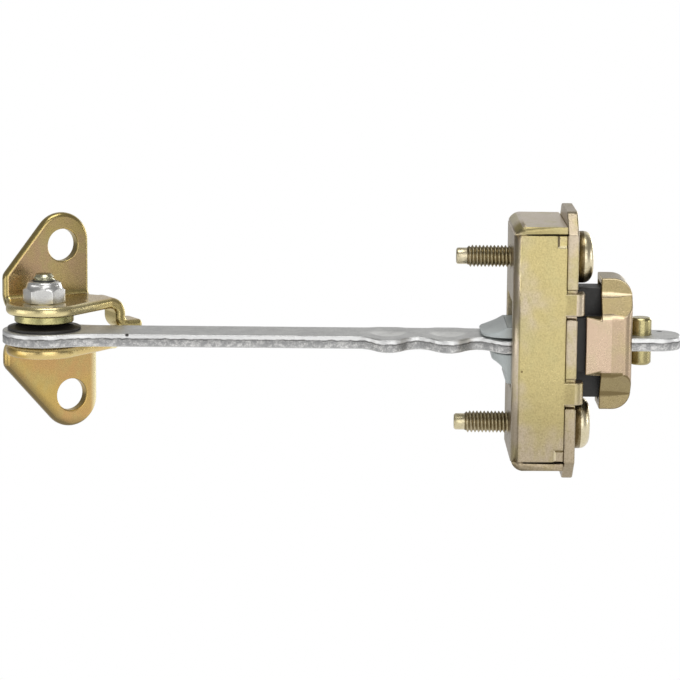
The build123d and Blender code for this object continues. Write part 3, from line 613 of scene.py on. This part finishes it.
# Pillar bracket: two stampings in thick sheet, each an ear bent up from a flange, the upper one cranked down
# to a foot that is welded to the lower one. Yellow passivated zinc, darker and browner than the housing's.
BRACKET_EASE = 0.0012
HOLE_EASE = 0.0004
BRACKET_TURN = math.radians(31.5)
EAR_ACROSS = Vector((math.cos(BRACKET_TURN), math.sin(BRACKET_TURN), 0))
EAR_NORMAL = Vector((math.sin(BRACKET_TURN), -math.cos(BRACKET_TURN), 0))
EAR_SLANT = math.radians(41.92)
DOWN = Vector((0, 0, -1))
SLANT_OUT = -math.cos(EAR_SLANT) * EAR_ACROSS + math.sin(EAR_SLANT) * DOWN
EAR_CLEAR = 0.0095
EAR_HOLE_REACH = 0.0055
UPPER_EAR_HOLE = (0.0105, 0.02317)
LOWER_EAR_HOLE = (0.0130, -0.01924)
PIVOT_HOLE_REACH = 0.0072
# Painted shade on the upper ear's right and the lower ear's left edge and end; a painted highlight on its
# right.
UPPER_RIGHT_SHADE = (EAR_ACROSS, -0.1005, -0.0915, 0.35)
LOWER_RIGHT_GLOW = (EAR_ACROSS, -0.0900, -0.0880, -1.0)
LOWER_LEFT_SHADE = (SLANT_OUT, 0.0892, 0.0924, 1.0)
LOWER_END_SHADE = (DOWN, 0.0250, 0.0280, 0.8)
EAR_PINK = 0.36
FLANGE_PINK = 0.7
FLANGE_FACE_HIGHLIGHT = 0.25
UPPER_FLANGE_HIGHLIGHT = 0.5
LOWER_FLANGE_HIGHLIGHT = 0.25
UPPER_EDGE_SHADE = 0.3
LOWER_EDGE_SHADE = 0.6
upper_zinc = yellow_zinc(
    "upper_bracket_zinc",
    gold=(0.55, 0.43, 0.16, 1),
    pink=(0.56, 0.38, 0.22, 1),
    green=(0.54, 0.46, 0.19, 1),
    roughness=0.28,
    depth=0.08,
    grain=0.000015,
    fades=[UPPER_RIGHT_SHADE],
)
lower_zinc = yellow_zinc(
    "lower_bracket_zinc",
    gold=(0.63, 0.44, 0.14, 1),
    pink=(0.64, 0.40, 0.16, 1),
    green=(0.58, 0.46, 0.18, 1),
    roughness=0.26,
    depth=0.06,
    grain=0.00001,
    fades=[LOWER_RIGHT_GLOW, LOWER_LEFT_SHADE, LOWER_END_SHADE],
)


def ramp(value, low, high):
    """0 below low, 1 above high and a straight rise between them."""
    return max(0.0, min(1.0, (value - low) / (high - low)))


def bracket_film_and_shade(normal, middle):
    """The film is pink on the ears and flanges, the flanges get a painted highlight and the ears' edges
    painted shade.
    """
    level = ramp(abs(normal.z), 0.8, 0.95)
    if abs(middle.z) < EAR_CLEAR:
        # The flanges are painted paler, a painted highlight that is strongest on their faces.
        pale = UPPER_FLANGE_HIGHLIGHT if middle.z > 0 else LOWER_FLANGE_HIGHLIGHT
        return FLANGE_PINK * level, -FLANGE_FACE_HIGHLIGHT * level - pale
    left = -normal.dot(EAR_ACROSS)
    film = EAR_PINK * ramp(normal.dot(EAR_NORMAL), 0.9, 0.98)
    # On the upper ear painted shade falls on the edges that face left, on the lower ear on those facing left
    # and down.
    if middle.z > 0:
        return film, UPPER_EDGE_SHADE * ramp(left, 0.1, 0.6)
    return film, LOWER_EDGE_SHADE * ramp(max(left, 0) + max(-normal.z, 0), 0.1, 0.9)


def on_hole(edge, ear_hole):
    """True for an edge round the pivot or round the ear's bolt hole, given along the ear and in height."""
    across, height = ear_hole
    from_pivot = [vert.co - pivot_middle for vert in edge.verts]
    return all(
        math.hypot(off.dot(EAR_ACROSS) - across, off.z + pivot_middle.z - height) < EAR_HOLE_REACH
        or off.xy.length < PIVOT_HOLE_REACH
        for off in from_pivot
    )


for node, name, zinc, ear_hole in (
    ("upper_bracket", "upper_bracket_pressing", upper_zinc, UPPER_EAR_HOLE),
    ("lower_bracket", "lower_bracket_pressing", lower_zinc, LOWER_EAR_HOLE),
):
    mesh = cad_copy(node)
    ease_edges(mesh, BRACKET_EASE, segments=5, where=lambda edge: not on_hole(edge, ear_hole))
    ease_edges(mesh, HOLE_EASE, where=lambda edge: on_hole(edge, ear_hole))
    turn_film_and_shade(mesh, bracket_film_and_shade)
    piece(name, mesh, "bracket", "bracket_zinc", [zinc], node)


# Housing box: one cross-shaped blank folded into five walls, with four tabs bent over the cover plate.
# Yellow passivated zinc, with a paler film at the bends.
BOX_EASE = 0.0003
BOX_BEND = 0.0036
BOX_CORNER = 0.0037
BOX_SHEET = 0.002
BOX_TAB_X = 0.0145
BOX_WALL_END = 0.0309
BLANK_FOLD = 0.0035
TIGHT_FOLD = 0.0022
CRIMP_X = 0.0115
CRIMP_Z = 0.0274
CRIMP_FLOOR_Y = -0.0165
CRIMP_SLOPE = 0.0006
BOX_LOWER_SHADE = (DOWN, 0.0, 0.03, 0.35)
BOX_OPEN_SHADE = ((1, 0, 0), 0.0135, 0.0150, 0.25)
BOX_FOLD_BLUSH = ((-1, 0, 0), -0.0075, -0.0030, 0.2)
BOX_FOOT_BLUSH = (DOWN, 0.018, 0.028, 0.6)
BOX_SPECK = (0.0026, -0.0168, -0.0060)
TOP_FILM = (1.0, 0.0)
TOP_EDGE_SHADE = (0.0, 0.3)
BOTTOM_FILM_AND_SHADE = (0.4, 0.45)
TAB_FILM = (0.45, 0.05)
FOLD_PINK = 0.5
DOOR_FACE_SHADE = 0.5
CRIMP_LIT_FILM = (0.3, -0.6)
CRIMP_SHADED_FILM = (0.3, 0.8)
WALL_SHADE = (0.0, 0.3)
housing_zinc = yellow_zinc(
    "housing_zinc",
    gold=(0.65, 0.55, 0.26, 1),
    pink=(0.69, 0.59, 0.46, 1),
    green=(0.60, 0.53, 0.26, 1),
    roughness=0.34,
    depth=0.16,
    fades=[BOX_LOWER_SHADE, BOX_OPEN_SHADE],
    blushes=[BOX_FOLD_BLUSH, BOX_FOOT_BLUSH],
    speck=BOX_SPECK,
)
box_low, box_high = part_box("housing_box")


def off_corner(edge):
    """True for an edge outside the four folded corners of the door face."""
    inside = box_high - Vector((0, BOX_CORNER, BOX_CORNER))
    return not all(
        vert.co.x < BOX_BEND and abs(vert.co.y) > inside.y and abs(vert.co.z) > inside.z
        for vert in edge.verts
    )


def box_film_and_shade(normal, middle):
    """The film is pink on the top wall and at the bends of the door face, with painted shade on the bottom
    wall.
    """
    if normal.z > 0.9:
        return TOP_FILM
    # The top wall's edge, the bottom wall and the plain walls get painted shade.
    if middle.z > box_high.z - BOX_SHEET:
        return TOP_EDGE_SHADE
    if middle.z < box_low.z + BOX_SHEET:
        return BOTTOM_FILM_AND_SHADE
    if middle.x > BOX_TAB_X:
        return TAB_FILM
    # The bends of the door face that turn to the left get painted shade.
    if middle.x < BOX_BEND and abs(normal.y) < 0.95:
        return FOLD_PINK, DOOR_FACE_SHADE * ramp(-normal.x, 0.5, 0.95)
    # In each crimp one wall gets a painted highlight and the other painted shade.
    if middle.x > CRIMP_X and abs(middle.z) > CRIMP_Z and -0.95 < normal.y < -0.3:
        level = abs(normal.z) > abs(normal.x)
        return CRIMP_LIT_FILM if level == (middle.z > 0) else CRIMP_SHADED_FILM
    return WALL_SHADE


mesh = cad_copy("housing_box")
for vert in mesh.verts:
    off = Vector((vert.co.x - BLANK_FOLD, abs(vert.co.y) - box_high.y + BLANK_FOLD))
    if off.x < WELD and off.y > -WELD and abs(vert.co.z) < BOX_WALL_END:
        drawn = off.normalized() * (off.length - BLANK_FOLD + TIGHT_FOLD)
        vert.co.x = TIGHT_FOLD + drawn.x
        vert.co.y = math.copysign(box_high.y - TIGHT_FOLD + drawn.y, vert.co.y)
    elif vert.co.x > CRIMP_X - NEAR and abs(vert.co.y - CRIMP_FLOOR_Y) < NEAR:
        vert.co.x = max(vert.co.x, CRIMP_X + CRIMP_SLOPE)
        vert.co.z = math.copysign(max(abs(vert.co.z), CRIMP_Z + CRIMP_SLOPE), vert.co.z)
ease_edges(mesh, BOX_EASE, where=off_corner)
turn_film_and_shade(mesh, box_film_and_shade)
piece("box_shell", mesh, "housing", "housing_zinc", [housing_zinc], "housing_box")


# Cover plate: a thick steel blank that closes the box, held by the box's tabs and by the heads of the studs.
# It has the same yellow zinc as the box, thin and dull.
PLATE_EASE = 0.0004
PLATE_PINK = 0.5
PLATE_DULL = 0.1
PLATE_END_SHADE = 0.2


def plate_film_and_shade(normal, _middle):
    """The film is thin and dull all over, with painted shade on the edges that face up and down."""
    return PLATE_PINK, PLATE_DULL + PLATE_END_SHADE * abs(normal.z)


mesh = cad_copy("cover_plate")
ease_edges(mesh, PLATE_EASE)
turn_film_and_shade(mesh, plate_film_and_shade)
piece("plate_blank", mesh, "housing", "housing_zinc", [housing_zinc], "cover_plate")


# Door studs: cold headed, with a domed head on the cover plate and a rolled thread that ends in a dog point.
# Yellow passivated zinc, with painted shade on the thread, deepest in its roots, and on the head's side by
# the plate.
STUD_RADIUS = 0.003
SHANK_RADIUS = 0.0034
DOG_RADIUS = 0.00225
DOG_LENGTH = 0.0029
DOG_ROUND = 0.0004
DOG_SUNK = 0.0005
THREAD_SUNK = 0.0002
HEAD_HEIGHT = 0.005
HEAD_SIDE = 0.0024
HEAD_ROUND = 0.0030
DOME_STEPS = 8
HEAD_RIM_X = 0.019
HEAD_PINK = 0.5
HEAD_SIDE_SHADE = 1.1
THREAD_PINK = 0.3
THREAD_SHADE = 0.35
DOG_DULL = 0.1
stud_zinc = yellow_zinc(
    "stud_zinc",
    gold=(0.72, 0.63, 0.40, 1),
    pink=(0.74, 0.66, 0.47, 1),
    green=(0.66, 0.59, 0.36, 1),
    roughness=0.32,
)


def stud_film_and_shade(_normal, middle):
    """Painted shade darkens the thread, most in its roots, and the side of the head next to the plate."""
    if middle.x >= 0:
        return HEAD_PINK, HEAD_SIDE_SHADE if middle.x < HEAD_RIM_X else 0.0
    reach = math.hypot(middle.y, middle.z)
    if reach > DOG_RADIUS:
        return THREAD_PINK, THREAD_SHADE + ramp(STUD_RADIUS - reach, 0, THREAD_DEPTH)
    return THREAD_PINK, DOG_DULL


for node, name in (("upper_stud", "upper_stud_turned"), ("lower_stud", "lower_stud_turned")):
    low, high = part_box(node)
    head_radius = (high.z - low.z) / 2
    head_x = high.x - HEAD_HEIGHT
    dome_x = head_x + HEAD_SIDE
    dome = []
    for step in range(DOME_STEPS + 1):
        turn = math.pi / 2 * step / DOME_STEPS
        out = head_radius - HEAD_ROUND * (1 - math.cos(turn))
        dome.append((dome_x + (HEAD_HEIGHT - HEAD_SIDE) * math.sin(turn), out))
    dome.append((high.x, 0))
    mesh = bmesh.new()
    lathe(mesh, [(0, 0), (0, SHANK_RADIUS), (head_x, SHANK_RADIUS), (head_x, head_radius), *dome])
    dog_end = low.x + DOG_LENGTH + DOG_SUNK
    dog_tip = [(low.x, 0), (low.x, DOG_RADIUS - DOG_ROUND), (low.x + DOG_ROUND, DOG_RADIUS)]
    lathe(mesh, [*dog_tip, (dog_end, DOG_RADIUS), (dog_end, 0)])
    rolled_thread(mesh, low.x + DOG_LENGTH, THREAD_SUNK, STUD_RADIUS, DOG_RADIUS)
    bmesh.ops.remove_doubles(mesh, verts=mesh.verts, dist=WELD)
    bmesh.ops.recalc_face_normals(mesh, faces=mesh.faces)
    turn_film_and_shade(mesh, stud_film_and_shade)
    bmesh.ops.translate(mesh, verts=mesh.verts, vec=(0, 0, (low.z + high.z) / 2))
    piece(name, mesh, "housing", "stud_zinc", [stud_zinc], node)


# Shoes: pale grey plastic mouldings that slide in the box and grip the arm from above and below. A rubber
# spring backs each of them.
SHOE_EASE = 0.0003
SHOE_DARK = (0.50, 0.55, 0.55, 1)
SHOE_LIGHT = (0.60, 0.64, 0.63, 1)
shoe_plastic = moulded("shoe_plastic", dark=SHOE_DARK, light=SHOE_LIGHT, roughness=0.38)
for node, name in (("upper_shoe", "upper_shoe_moulding"), ("lower_shoe", "lower_shoe_moulding")):
    mesh = cad_copy(node)
    ease_edges(mesh, SHOE_EASE)
    piece(name, mesh, node, "shoe_plastic", [shoe_plastic], node)


# Rubber springs: moulded blocks between the shoes and the ends of the box, where they are hidden.
RUBBER_EASE = 0.0002
RUBBER_DARK = (0.012, 0.012, 0.012, 1)
SPRING_LIGHT = (0.022, 0.021, 0.021, 1)
rubber = moulded("spring_rubber", dark=RUBBER_DARK, light=SPRING_LIGHT, roughness=0.6)
for side, outer_end in (("upper", 1), ("lower", 0)):
    node = f"{side}_rubber_spring"
    mesh = cad_copy(node)
    ease_edges(mesh, RUBBER_EASE)
    block = piece(f"{side}_spring_block", mesh, "housing", "spring_rubber", [rubber], node)
    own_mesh(block)


# Buffer: a block of black moulded rubber that the stop cap carries. It lands on the cover plate when the
# door is fully open.
BUFFER_LIGHT = (0.026, 0.024, 0.022, 1)
buffer_rubber = moulded("buffer_rubber", dark=RUBBER_DARK, light=BUFFER_LIGHT, roughness=0.5)
mesh = cad_copy("buffer")
ease_edges(mesh, RUBBER_EASE)
piece("buffer_moulding", mesh, "arm", "buffer_rubber", [buffer_rubber], "buffer")


# Stop cap: a cup pressed from steel sheet that holds the buffer, with two lugs beside the arm. Yellow
# passivated zinc, pinker and darker than the housing's.
CAP_EASE = 0.0003
CAP_BEND = 0.0011
CAP_SKIRT_X = 0.0243
CAP_LUG_HALF_HEIGHT = 0.0083
CAP_LUG_END_X = 0.0272
FLANK_FOOT = (0.0105, 0.0080)
FLANK_HEAD = (0.0065, 0.0135)
LUG_FILM = (1.0, 0.1)
RIM_FILM = (0.45, 0.4)
FLANK_SHADE = 0.8
UPPER_BEND_PINK = 0.8
UPPER_BEND_HIGHLIGHT = 1.3
LOWER_BEND_PINK = 0.6
LOWER_BEND_SHADE = 0.5
cap_zinc = yellow_zinc(
    "cap_zinc",
    gold=(0.58, 0.48, 0.26, 1),
    pink=(0.60, 0.45, 0.33, 1),
    green=(0.55, 0.45, 0.30, 1),
    roughness=0.3,
    depth=0.1,
    grain=0.00002,
)


def on_bend(edge):
    """True for an edge along the cap where one of its flanks bends."""
    first, second = (vert.co for vert in edge.verts)
    along = (first - second).yz.length < NEAR and min(first.x, second.x) > CAP_SKIRT_X
    off_bends = [abs(abs(first.y) - y) + abs(abs(first.z) - z) for y, z in (FLANK_FOOT, FLANK_HEAD)]
    return along and min(off_bends) < 20 * NEAR


def cap_film_and_shade(normal, middle):
    """Pink film on the lugs, gold on the rim, painted shade on the flanks and a painted highlight on the
    upper bends.
    """
    if abs(middle.z) < CAP_LUG_HALF_HEIGHT - CAP_BEND:
        return LUG_FILM if middle.x < CAP_LUG_END_X else RIM_FILM
    bent = ramp(abs(normal.z), 0.05, 0.2) * ramp(-abs(normal.z), -0.56, -0.4)
    if middle.z > 0:
        return UPPER_BEND_PINK * bent, FLANK_SHADE - UPPER_BEND_HIGHLIGHT * bent
    # The lower bends get deeper painted shade.
    return LOWER_BEND_PINK * bent, FLANK_SHADE + LOWER_BEND_SHADE * bent


mesh = cad_copy("stop_cap")
cut_across(mesh, (CAP_LUG_END_X, 0, 0), (1, 0, 0))
ease_edges(mesh, CAP_BEND, segments=5, where=on_bend)
ease_edges(mesh, CAP_EASE)
turn_film_and_shade(mesh, cap_film_and_shade)
piece("cap_pressing", mesh, "arm", "cap_zinc", [cap_zinc], "stop_cap")


# Stop pin: a plain turned pin pressed through the arm behind the cap, which it keeps on the arm. Yellow
# passivated zinc.
PIN_EASE = 0.0002
PIN_LOWER_SHADE = (DOWN, 0.0, 0.006, 0.3)
pin_zinc = yellow_zinc(
    "pin_zinc",
    gold=(0.48, 0.42, 0.21, 1),
    pink=(0.50, 0.39, 0.23, 1),
    green=(0.46, 0.41, 0.19, 1),
    roughness=0.24,
    fades=[PIN_LOWER_SHADE],
)
mesh = cad_copy("stop_pin")
ease_edges(mesh, PIN_EASE)
piece("pin_turned", mesh, "arm", "pin_zinc", [pin_zinc], "stop_pin")


# Studio: a pale sheet below and behind the part, and six soft lamps in a plain grey room. The camera sees
# the room as white.
FLOOR_Z = -0.25
SHEET_HALF_WIDTH = 2.0
SHEET_FRONT = -2.0
SHEET_BACK = 2.0
SHEET_HEIGHT = 2.0
SHEET_CURVE = 0.6
SHEET_LEFT_GLOW = 0.6
SHEET_BACK_DIM = 0.45
PAPER = (0.85, 0.85, 0.85, 1)
WHITE = (1, 1, 1, 1)
ROOM_GREY = (0.26, 0.26, 0.26, 1)
AIM = Vector((-0.0463, 0.0, -0.0006))


def white_sheet():
    """Pale sheet that the camera sees as white. Reflections see it dimmer to the left and behind."""
    material = bpy.data.materials.new("white_sheet")
    material.use_nodes = True
    tree = material.node_tree
    tree.nodes.clear()
    shade = Shade(tree)
    here = place(shade)
    across = shade.node("ShaderNodeSeparateXYZ", None, {0: here}, output="X")
    deep = shade.node("ShaderNodeSeparateXYZ", None, {0: here}, output="Y")
    camera_sees = shade.node("ShaderNodeLightPath", output="Is Camera Ray")
    glass_sees = shade.node("ShaderNodeLightPath", output="Is Transmission Ray")
    metal_sees = shade.node("ShaderNodeLightPath", output="Is Glossy Ray")
    to_right = across.step(-0.9, 0.1)
    behind_left = deep.step(0.0, 1.2) * (1 - across.step(0.3, 0.9))
    lit = SHEET_LEFT_GLOW + (1 - SHEET_LEFT_GLOW) * to_right - SHEET_BACK_DIM * behind_left
    seen = camera_sees + glass_sees + metal_sees * lit
    paper = shade.node("ShaderNodeBsdfDiffuse", None, {"Color": PAPER})
    glow = shade.node("ShaderNodeEmission", None, {"Color": WHITE, "Strength": 1.0})
    mixed = shade.node("ShaderNodeMixShader", None, {0: seen, 1: paper, 2: glow})
    out = tree.nodes.new("ShaderNodeOutputMaterial")
    tree.links.new(mixed.socket, out.inputs["Surface"])
    return material


mesh = bmesh.new()
front = mesh.verts.new((-SHEET_HALF_WIDTH, SHEET_FRONT, FLOOR_Z))
back = mesh.verts.new((-SHEET_HALF_WIDTH, SHEET_BACK, FLOOR_Z))
top = mesh.verts.new((-SHEET_HALF_WIDTH, SHEET_BACK, SHEET_HEIGHT))
side = [mesh.edges.new((front, back)), mesh.edges.new((back, top))]
drawn = bmesh.ops.extrude_edge_only(mesh, edges=side)["geom"]
moved = [item for item in drawn if isinstance(item, bmesh.types.BMVert)]
bmesh.ops.translate(mesh, verts=moved, vec=(2 * SHEET_HALF_WIDTH, 0, 0))
corner = [
    edge
    for edge in mesh.edges
    if all(abs(vert.co.y - SHEET_BACK) + abs(vert.co.z - FLOOR_Z) < WELD for vert in edge.verts)
]
bmesh.ops.bevel(
    mesh,
    geom=corner,
    offset=SHEET_CURVE,
    affect="EDGES",
    segments=12,
    profile=0.5,
    material=-1,
)
sheet_data = bpy.data.meshes.new("studio_sheet")
mesh.to_mesh(sheet_data)
mesh.free()
sheet_data.shade_smooth()
sheet_data.materials.append(white_sheet())
sheet = bpy.data.objects.new("studio_sheet", sheet_data)
bpy.context.scene.collection.objects.link(sheet)

world = bpy.data.worlds.new("grey_room")
world.use_nodes = True
room = Shade(world.node_tree)
camera_sees = room.node("ShaderNodeLightPath", output="Is Camera Ray")
room.feed(world.node_tree.nodes["Background"].inputs["Color"], camera_sees.blend(ROOM_GREY, WHITE))
bpy.context.scene.world = world


def soft_lamp(name, offset, size, watts):
    """Square soft box that points at the part."""
    light = bpy.data.lights.new(name, "AREA")
    light.size = size
    light.energy = watts
    lamp = bpy.data.objects.new(name, light)
    lamp.location = AIM + Vector(offset)
    lamp.rotation_euler = (-Vector(offset)).to_track_quat("-Z", "Y").to_euler()
    bpy.context.scene.collection.objects.link(lamp)


soft_lamp("front_box", offset=(0.35, -1.1, 0.25), size=0.9, watts=4.2)
soft_lamp("left_box", offset=(-1.0, -0.4, 0.0), size=0.6, watts=1.6)
soft_lamp("front_left_box", offset=(-0.75, -0.95, 0.1), size=0.5, watts=0.8)
soft_lamp("back_right_box", offset=(0.62, 1.0, 0.1), size=0.4, watts=2.2)
soft_lamp("right_box", offset=(1.1, 0.1, 0.05), size=0.3, watts=1.3)
soft_lamp("top_box", offset=(0.1, -0.25, 1.2), size=0.7, watts=5.0)


# Camera: a long lens a little above the arm and square to it, as the photograph was taken.
CAMERA_DISTANCE = 0.8
CAMERA_RISE = math.radians(9.5)
CAMERA_ROLL = math.radians(0.5)
PIXELS_PER_METRE = 3650
IMAGE_WIDTH = 680
camera_data = bpy.data.cameras.new("photo_camera")
camera_data.sensor_width = 36
camera_data.lens = PIXELS_PER_METRE * CAMERA_DISTANCE * camera_data.sensor_width / IMAGE_WIDTH
camera_data.clip_start = 0.01
camera = bpy.data.objects.new("photo_camera", camera_data)
back_along_view = Vector((0, -math.cos(CAMERA_RISE), math.sin(CAMERA_RISE)))
camera.location = AIM + back_along_view * CAMERA_DISTANCE
level = (-back_along_view).to_track_quat("-Z", "Y")
camera.rotation_euler = (level @ Quaternion((0, 0, 1), CAMERA_ROLL)).to_euler()
bpy.context.scene.collection.objects.link(camera)
bpy.context.scene.camera = camera
bpy.context.scene.view_settings.view_transform = "Standard"

bpy.context.view_layer.update()
